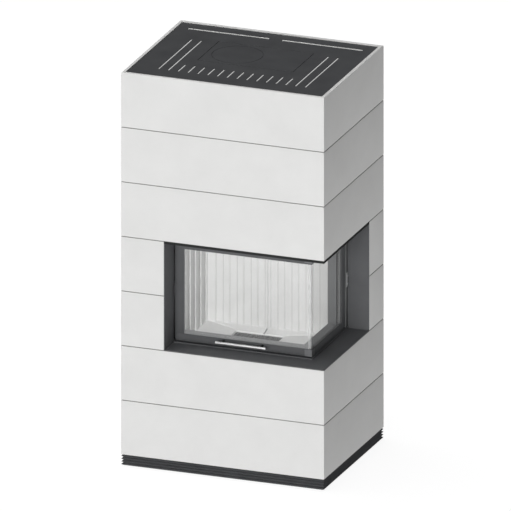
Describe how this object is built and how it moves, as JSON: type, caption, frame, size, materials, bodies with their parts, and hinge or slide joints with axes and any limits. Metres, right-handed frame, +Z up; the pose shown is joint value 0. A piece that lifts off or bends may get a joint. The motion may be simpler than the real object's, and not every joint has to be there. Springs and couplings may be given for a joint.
{
  "type": "modular fireplace",
  "caption": "Tall modular wood fireplace of pale stacked blocks with a corner-glazed lifting door, dark surround, louvred plinth and slotted cover.",
  "frame": {"origin": "bottom centre of the bounding box, on the floor", "axes": "+X to the right seen from the front, +Y to the back, +Z up"},
  "size_m": [0.9, 0.7, 1.728],
  "materials": {
    "cast_white": "matte cast concrete",
    "dark_steel": "matte anthracite paint",
    "box_steel": "matte heat-proof paint",
    "bare_steel": "plain",
    "stainless": "brushed",
    "iron": "as cast",
    "chamotte": "matte fireclay",
    "clear_glass": "clear",
    "seal_rope": "woven"
  },
  "bodies": {
    "casing": {"base_module": "cast_white", "lower_module": "cast_white", "window_module_lower": "cast_white", "window_module_upper": "cast_white", "lintel_module": "cast_white", "upper_module": "cast_white", "top_module": "cast_white", "plinth_frame": "dark_steel", "plinth_louvres": "dark_steel", "sill_plate": "dark_steel", "reveal_cheeks": "dark_steel", "lintel_beam": "dark_steel", "cover_plate": "dark_steel", "locating_dowels": "bare_steel", "stand_feet": "bare_steel", "collar_bolts": "bare_steel", "guide_rails": "bare_steel", "lift_chains": "bare_steel", "sprocket_brackets": "bare_steel", "vent_screens": "bare_steel", "ash_pan": "bare_steel", "carrier_posts": "box_steel", "insert_stand": "box_steel", "firebox_floor": "box_steel", "firebox_walls": "box_steel", "firebox_front_frame": "box_steel", "hood_plates": "box_steel", "firebox_roof": "box_steel", "flue_collar": "box_steel", "hearth_ledge": "box_steel", "air_spigot": "box_steel", "lining_left": "chamotte", "lining_back_left": "chamotte", "lining_back_right": "chamotte", "hearth_left": "chamotte", "hearth_right": "chamotte", "hearth_front": "chamotte", "hearth_back_left": "chamotte", "hearth_back_right": "chamotte", "baffle_plate": "chamotte"},
    "lift_door": {"door_frame": "dark_steel", "corner_brackets": "dark_steel", "glass_retainers": "dark_steel", "glass_front": "clear_glass", "glass_side": "clear_glass", "corner_strip": "stainless", "handle_bar": "stainless", "handle_posts": "stainless", "door_seals": "seal_rope", "door_carriages": "bare_steel"},
    "left_weight": {"left_counterweight": "iron"},
    "rear_weight": {"rear_counterweight": "iron"},
    "left_upper_wheel": {"left_upper_sprocket": "bare_steel"},
    "left_lower_wheel": {"left_lower_sprocket": "bare_steel"},
    "rear_upper_wheel": {"rear_upper_sprocket": "bare_steel"},
    "rear_lower_wheel": {"rear_lower_sprocket": "bare_steel"},
    "throttle": {"air_flap": "bare_steel"},
    "lift_out_panel": {"flue_panel": "dark_steel"},
    "flue_blank": {"flue_disc": "dark_steel"},
    "lift_out_grate": {"grate": "iron"}
  },
  "joints": [
    {"name": "door_lift", "type": "slide", "parent": "casing", "child": "lift_door", "axis": [0, 0, 1], "range_m": [0, 0.4]},
    {"name": "left_weight_run", "type": "slide", "parent": "casing", "child": "left_weight", "axis": [0, 0, 1], "range_m": [-0.4, 0]},
    {"name": "rear_weight_run", "type": "slide", "parent": "casing", "child": "rear_weight", "axis": [0, 0, 1], "range_m": [-0.4, 0]},
    {"name": "left_upper_spin", "type": "hinge", "parent": "casing", "child": "left_upper_wheel", "pos_m": [-0.3, -0.187, 1.423], "axis": [-1, 0, 0], "range_deg": [0, 660]},
    {"name": "left_lower_spin", "type": "hinge", "parent": "casing", "child": "left_lower_wheel", "pos_m": [-0.3, -0.187, 0.493], "axis": [-1, 0, 0], "range_deg": [0, 660]},
    {"name": "rear_upper_spin", "type": "hinge", "parent": "casing", "child": "rear_upper_wheel", "pos_m": [0.305, 0.2, 1.423], "axis": [0, -1, 0], "range_deg": [0, 660]},
    {"name": "rear_lower_spin", "type": "hinge", "parent": "casing", "child": "rear_lower_wheel", "pos_m": [0.305, 0.2, 0.493], "axis": [0, -1, 0], "range_deg": [0, 660]},
    {"name": "throttle_turn", "type": "hinge", "parent": "casing", "child": "throttle", "pos_m": [0.177, -0.02, 0.333], "axis": [1, 0, 0], "range_deg": [0, 90]},
    {"name": "panel_lift", "type": "slide", "parent": "casing", "child": "lift_out_panel", "axis": [0, 0, 1], "range_m": [0, 0.1]},
    {"name": "blank_lift", "type": "slide", "parent": "lift_out_panel", "child": "flue_blank", "axis": [0, 0, 1], "range_m": [0, 0.1]},
    {"name": "grate_lift", "type": "slide", "parent": "casing", "child": "lift_out_grate", "axis": [0, 0, 1], "range_m": [0, 0.12]}
  ],
  "couplings": [
    {"joint": "left_weight_run", "follows": "door_lift", "ratio": -1},
    {"joint": "rear_weight_run", "follows": "door_lift", "ratio": -1},
    {"joint": "left_upper_spin", "follows": "door_lift", "rad_per_m": 28.571},
    {"joint": "left_lower_spin", "follows": "door_lift", "rad_per_m": 28.571},
    {"joint": "rear_upper_spin", "follows": "door_lift", "rad_per_m": 28.571},
    {"joint": "rear_lower_spin", "follows": "door_lift", "rad_per_m": 28.571}
  ]
}
